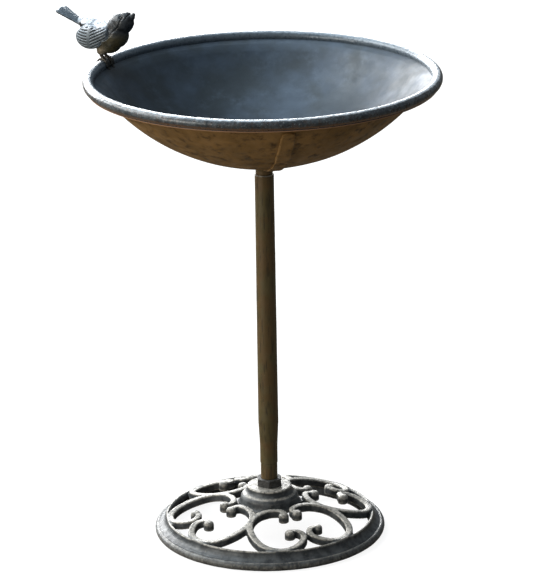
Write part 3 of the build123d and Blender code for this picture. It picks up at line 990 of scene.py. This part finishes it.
def bird_core():
    """Body, rump, breast, neck, head, throat and thighs, which flow into each other."""
    shells = [
        ball((0.5, 0, 25.5), (27.0, 14.0, 14.6), -8.0),
        ball((12.8, 0, 25.3), (14.1, 13.4, 13.5)),
        ball((4.5, 0, 17.6), (14.4, 10.5, 11.6), 8.0),
        ball((-3.0, 0, 33.2), (10.5, 9.4, 6.4), 4.0),
        ball((-11.0, 0, 32.3), (15.5, 9.8, 8.2), 12.0),
        ball((13.5, 0, 33.5), (12.5, 11.2, 10.5), -20.0),
        ball((20.6, 0, 38.7), (12.7, 10.6, 10.2), -2.0),
        ball((25.3, 0, 42.9), (7.6, 8.0, 7.0)),
        ball((24.5, 0, 37.2), (8.0, 7.8, 9.0), 8.0),
    ]
    for side in (-1, 1):
        shells.append(ball((-0.6, side * 4.6, 9.6), (5.4, 4.2, 5.4), 10.0))
    piece = fused(new_piece("bird_core", merge(shells)), BIRD_CORE_VOXEL)
    relax(piece, 10)
    points = get_points(piece)
    for _ in range(6):
        points = points + 0.5 * (neighbour_mean(piece, points) - points)
    set_points(piece, points)
    faces = [tuple(p.vertices) for p in piece.data.polygons]
    shell = get_points(piece), faces
    bpy.data.objects.remove(piece)
    return shell


def beak():
    """Beak open to the sky: a short upper half that runs on from the crown and a fuller lower one."""
    upper = [(23.4, 0, 43.5), (26.6, 0, 45.6), (28.7, 0, 47.0)]
    lower = [(26.5, 0, 40.2), (30.4, 0, 43.8), (32.6, 0, 46.3), (33.3, 0, 47.4)]
    return [limb(upper, (4.8, 2.7, 1.1)), limb(lower, (5.6, 4.1, 3.0, 2.2))]


def feather(length, root, tip, thickness):
    """A flat feather along -x with a rounded end and a raised quill."""
    steps = np.linspace(0, 1, 30)
    end = np.sqrt(np.clip(1 - np.clip((steps - 0.86) / 0.14, 0, 1) ** 2, 0.03, 1))
    half = (root + (tip - root) * steps) / 2 * end
    roof = rounded([(-1, -0.5), (-1, 0.3), (0, 0.75), (1, 0.3), (1, -0.5)], 0.1, 2)
    section = np.array(refined(roof, 0.3))
    y = half[:, None] * section[None, :, 0]
    z = thickness * section[None, :, 1] * np.ones((len(steps), 1))
    x = -length * steps[:, None] * np.ones((1, len(section)))
    points = np.stack([x, y, z], axis=2).reshape(-1, 3)
    return points, bar_faces(len(steps), len(section))


def tail():
    """Seven feathers, fanned and overlapping like roof tiles, raised behind."""
    shells = []
    fan, raised = 3.6, 29.0
    lift = turn_matrix(raised, "Y")
    for k, extra in enumerate(FEATHER_ENDS):
        off = k - (len(FEATHER_ENDS) - 1) / 2
        points, faces = feather(29.6 + extra, 3.2, 5.7, 1.7)
        points = points @ turn_matrix(-fan * off).T + (0, 1.35 * off, -0.42 * abs(off))
        shells.append((points @ lift.T + (-21.0, 0, 34.6), faces))
    shells.append(ball((-20.5, 0, 34.6), (8.5, 6.6, 4.7), raised))
    return shells


def wing(side):
    """A folded wing: two flat lobes laid on the body's side."""
    return [ball((x, side * 9.8, z), (long, 6.2, high), tilt) for (x, z), (long, high), tilt in WING_LOBES]


def ring_surface(angle, lift):
    """A point over the rim ring's bar, in the bird's frame: 90 degrees is its top and 0 its inner side."""
    reach = BEAD_R + lift
    return np.array([reach * math.cos(angle), 0.0, -BEAD_R + reach * math.sin(angle)])


def toe(foot_y, spread, start, end, radius):
    """A toe that follows the bar from one angle to another, with a thin claw at its end."""
    parts = 12
    angles = np.radians(np.linspace(start, end, parts))
    sideways = [np.array([0, foot_y + spread * k / (parts - 1), 0]) for k in range(parts)]
    path = [ring_surface(a, radius * 0.55) + shift for a, shift in zip(angles, sideways)]
    swell = 1 + 0.14 * np.cos(np.linspace(0, 4.5 * math.pi, parts))
    radii = radius * swell * np.linspace(1.05, 0.72, parts)
    radii[-1] = radius * 0.35
    return limb(path, radii)


def foot_and_leg(side):
    """Short leg with an ankle bump, three toes over the inner side of the bar and one behind."""
    y = side * FOOT_SPREAD
    up = side * 3.7
    leg = [(-1.2, up, 12.0), (-1.2, up, 8.2), (-1.2, side * 4.0, 4.8), (-0.1, side * 4.4, 2.2), (1.4, y, 0.4)]
    shells = [
        limb(leg, (3.4, 2.1, 1.9, 1.6, 1.9)),
        ball((-1.5, side * 4.0, 4.4), (1.7, 1.7, 2.1), 20),
        ball((2.2, y, 0.2), (3.0, 2.3, 1.9), 25),
    ]
    for spread in (-2.6, 0.0, 2.6):
        shells.append(toe(y + 0.25 * spread, spread, 76, -30 + 6 * abs(spread), 1.45))
    shells.append(toe(y, -0.6 * side, 84, 165, 1.35))
    low = FLANGE_TOP_Z - RIM_HI[2]
    shells.append(ball((6.9, y, low + 1.6), (2.0, 2.4, 2.2)))
    pin_r, pin_low = 1.5, node_box("bird_casting")[0][2] - RIM_HI[2]
    pin_x, pin_y = BEAD_CENTRE_R - PIN_CIRCLE_R, y * 0.958
    shells.append(limb([(pin_x, pin_y, pin_low + pin_r), (pin_x, pin_y, low + 2.0)], (pin_r, pin_r)))
    return shells


def wing_field(points):
    """How deep points lie inside the wing's outline in side view: 0 at its edge and 1 in its middle."""
    inside = []
    for (x, z), (long, high), tilt in WING_LOBES:
        c, s = math.cos(math.radians(tilt)), math.sin(math.radians(tilt))
        dx, dz = points[:, 0] - x, points[:, 2] - z
        u, v = (dx * c - dz * s) / long, (dx * s + dz * c) / high
        inside.append(1 - np.hypot(u, v))
    return np.maximum(*inside)


def wing_grooves(points, normals):
    """Depth of the wings' two sets of feather grooves."""
    depth_in = wing_field(points)
    on_side = ramp(6.5, 9.0, np.abs(points[:, 1])) * ramp(0.1, 0.4, np.abs(normals[:, 1]))
    x, z = points[:, 0], points[:, 2]
    spacing = 3.0
    rear = np.cos(2 * math.pi * (z - 0.04 * x - 0.012 * (x - WING_SPLIT) ** 2) / spacing)
    slant = math.radians(26)
    front = np.cos(2 * math.pi * (z * math.cos(slant) - x * math.sin(slant)) / (0.95 * spacing))
    split = WING_SPLIT + 0.06 * (z - 25)
    rear_mask = ramp(split - 0.8, split - 2.6, x)
    front_mask = ramp(split + 1.0, split + 2.8, x) * (1 - ramp(6.5, 10.0, x))
    field = ramp(0.09, 0.15, depth_in)
    comb = rear_mask * np.clip(0.35 - rear, 0, 1.35) + front_mask * np.clip(0.35 - front, 0, 1.35)
    edge_line = np.exp(-((depth_in - 0.085) / 0.025) ** 2)
    return on_side * (0.60 * field * comb + 0.5 * edge_line * ramp(0.0, 0.05, depth_in))


def groove_along(points, path, width):
    """1 on a line through side-view points, fading to 0 at a width from it, on both sides of the head."""
    flat = points[:, [0, 2]]
    best = np.full(len(points), 1e9)
    for a, b in zip(path[:-1], path[1:]):
        a, b = np.array(a), np.array(b)
        t = np.clip(((flat - a) @ (b - a)) / ((b - a) @ (b - a)), 0, 1)
        best = np.minimum(best, np.linalg.norm(flat - (a + t[:, None] * (b - a)), axis=1))
    return np.exp(-((best / width) ** 2))


def tail_grooves(points):
    """Fine lines across the tail's feathers."""
    on_tail = ramp(-24.0, -28.0, points[:, 0])
    along = points[:, 0] * 0.875 - points[:, 2] * 0.485
    barbs = np.cos(2 * math.pi * (along + 0.55 * np.abs(points[:, 1])) / 1.9)
    return on_tail * 0.22 * np.clip(barbs, 0, 1)


def carve_bird(piece):
    """Feathers, neck line, eye sockets and rough cast skin."""
    points, normals = get_points(piece), get_normals(piece)
    grooves = wing_grooves(points, normals)
    side = ramp(2.5, 5.0, np.abs(points[:, 1]))
    off_wing = 1 - ramp(0.0, 0.05, wing_field(points)) * ramp(11.0, 13.0, np.abs(points[:, 1]))
    neck = side * off_wing * groove_along(points, NECK_LINE, 0.8)
    nape = side * groove_along(points, NAPE_LINE, 1.5)
    gape = groove_along(points, GAPE, 0.7)
    socket = sum(np.exp(-(np.linalg.norm(points - EYE * [1, s, 1], axis=1) / 2.2) ** 4) for s in (1, -1))
    body = (1 - ramp(-0.02, 0.04, wing_field(points))) * ramp(7.0, 11.0, points[:, 2])
    plumage = 0.18 * lumps(points * [0.6, 1, 1], 2.3, 14) + 0.10 * lumps(points, 1.3, 15)
    amount = -grooves - 0.55 * neck - 0.6 * nape - 0.6 * gape - 0.9 * socket - tail_grooves(points)
    push(piece, amount + body * plumage + 0.04 * lumps(points, 1.6, 16))
    return grooves, np.clip(neck + nape + gape, 0, 1), socket


def make_bird(material):
    """The songbird, one casting with its feet over the ring."""
    shells = [bird_core(), *beak(), *tail()]
    for side in (-1, 1):
        shells += [*wing(side), *foot_and_leg(side)]
        shells.append(ball(EYE * [1, side, 1] - [0, 0.3 * side, 0], (1.25, 1.25, 1.25), 0, 12, 16))
    piece = fused(new_piece("bird", merge(shells)), BIRD_VOXEL)
    relax(piece, 2)
    grooves, lines, socket = carve_bird(piece)
    store_relief(piece, 4, 1.5)
    points, upward = get_points(piece), get_normals(piece)[:, 2]
    x, y, z = points.T
    wing_part = ramp(0.0, 0.06, wing_field(points)) * ramp(8.0, 11.0, np.abs(y))
    # upward-facing tail and back are marked for the paint's painted sky sheen and painted sky reflection; the
    # wing part is worn paint
    tail_part = ramp(-20.0, -26.0, x) * ramp(0.1, 0.5, upward)
    back = ramp(0.2, 0.7, upward) * ramp(27.0, 33.0, z) * (1 - ramp(6.0, 10.0, x))
    below = ramp(32.0, 22.0, z) * ramp(-28.0, -20.0, x) * (1 - wing_part)
    store(piece, "pale", np.maximum.reduce([0.75 * wing_part, 0.7 * tail_part, back]))
    store(piece, "back", back * ramp(-27.0, -22.0, x))
    store(piece, "below", below)
    store(piece, "thigh", below * ramp(17.0, 11.0, z) * ramp(8.0, 2.0, x))
    # painted shade: grooves, neck lines and eye sockets are marked dark; the legs and feet are darker too
    legs = ramp(8.5, 5.0, z)
    dark = 0.9 * ramp(0.35, 0.8, grooves) + 0.5 * lines + 0.9 * socket + 0.75 * legs
    store(piece, "dark", np.clip(dark, 0, 1))
    place = bird_place()
    set_points(piece, points @ place[:3, :3].T + place[:3, 3])
    finish_piece(piece, "bowl", material, "bird_casting")


# ---- camera, lights and floor
def aim(obj, target, roll=0.0):
    """Points an object's -Z at a target and then rolls it clockwise by some degrees."""
    direction = Vector(target) - obj.location
    rolled = Matrix.Rotation(math.radians(roll), 4, "Z").to_quaternion()
    obj.rotation_mode = "QUATERNION"
    obj.rotation_quaternion = direction.to_track_quat("-Z", "Y") @ rolled


def make_camera():
    """Far away with a long lens, looking down at the bowl by under 20 degrees."""
    distance, down, aim_z = 3.4724, 18.64, 0.2392
    data = bpy.data.cameras.new("camera")
    camera = new_object("camera", data)
    angle = math.radians(down)
    camera.location = (0, -distance * math.cos(angle), aim_z + distance * math.sin(angle))
    data.lens = 212.1
    data.sensor_width = 36.0
    data.clip_end = 100.0
    aim(camera, (0.0003, 0, 0.2561), -0.95)
    bpy.context.scene.camera = camera


def area_light(name, place, target, size, power, colour):
    """A large soft light."""
    data = bpy.data.lights.new(name, "AREA")
    data.shape = "RECTANGLE"
    data.size, data.size_y = size
    data.energy = power
    data.color = colour
    light = new_object(name, data)
    light.location = place
    aim(light, target)


def make_lights():
    """A bright low band behind, a key from the left, a bluish light overhead and a warm fill in front."""
    area_light("band", (-1.9, 4.2, 1.65), (0, 0, 0.35), (5.0, 2.2), 420, (1.0, 1.0, 1.0))
    area_light("key", (-3.0, 0.7, 2.8), (0, 0, 0.25), (2.6, 2.4), 165, (1.0, 0.99, 0.96))
    area_light("top", (-1.2, 0.9, 4.2), (0, 0, 0.2), (3.4, 3.4), 115, (0.72, 0.87, 1.0))
    area_light("fill", (-3.4, -2.6, 1.3), (0, 0, 0.3), (2.4, 2.2), 98, (1.0, 0.93, 0.82))


def make_world():
    """White for the eye, dim blue-grey as surroundings."""
    world = bpy.data.worlds.new("surroundings")
    bpy.context.scene.world = world
    world.use_nodes = True
    world.node_tree.nodes.clear()
    nodes = Nodes(world.node_tree)
    dim = nodes.node("Background", {"Color": (0.48, 0.52, 0.55), "Strength": 0.48})
    nodes.split_by_ray("OutputWorld", dim, nodes.node("Background", {"Color": (1, 1, 1)}))


def make_floor():
    """A wide pale floor, level with the base's foot."""
    reach = 15.0
    corners = [(-reach, -reach, 0), (reach, -reach, 0), (reach, reach, 0), (-reach, reach, 0)]
    mesh = bpy.data.meshes.new("floor")
    mesh.from_pydata(corners, [], [(0, 1, 2, 3)])
    floor = new_object("floor", mesh)
    floor.data.materials.append(floor_paper())


# ---- the whole
def dress(node, material):
    """A better material on a CAD node that stays."""
    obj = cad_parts[node]
    obj.data.materials.clear()
    obj.data.materials.append(material)


def build():
    """Makes every piece."""
    patina, rusty = pole_patina(), bowl_outside()
    zinc = plated("zinc", (0.30, 0.30, 0.29), (0.42, 0.42, 0.40), 0.42)
    make_base(cast_paint())
    make_nut("locknut_turned", "locknut", nut_paint())
    make_nut("foot_nut_turned", "foot_nut", zinc)
    make_pole_foot(patina)
    make_pole(patina)
    make_shell(rusty, bowl_inside())
    make_rim(rim_paint())
    make_strap(rusty)
    make_spigot(patina)
    make_bird(bird_paint())
    for node in ("foot_washer", "foot_spring_washer", "bowl_stud", "bird_washers", "bird_nuts"):
        dress(node, zinc)
    dress("seat_washer", plated("dull_steel", (0.20, 0.19, 0.17), (0.33, 0.32, 0.29), 0.4))


build()
make_floor()
make_lights()
make_world()
make_camera()
bpy.context.scene.view_settings.view_transform = "Standard"
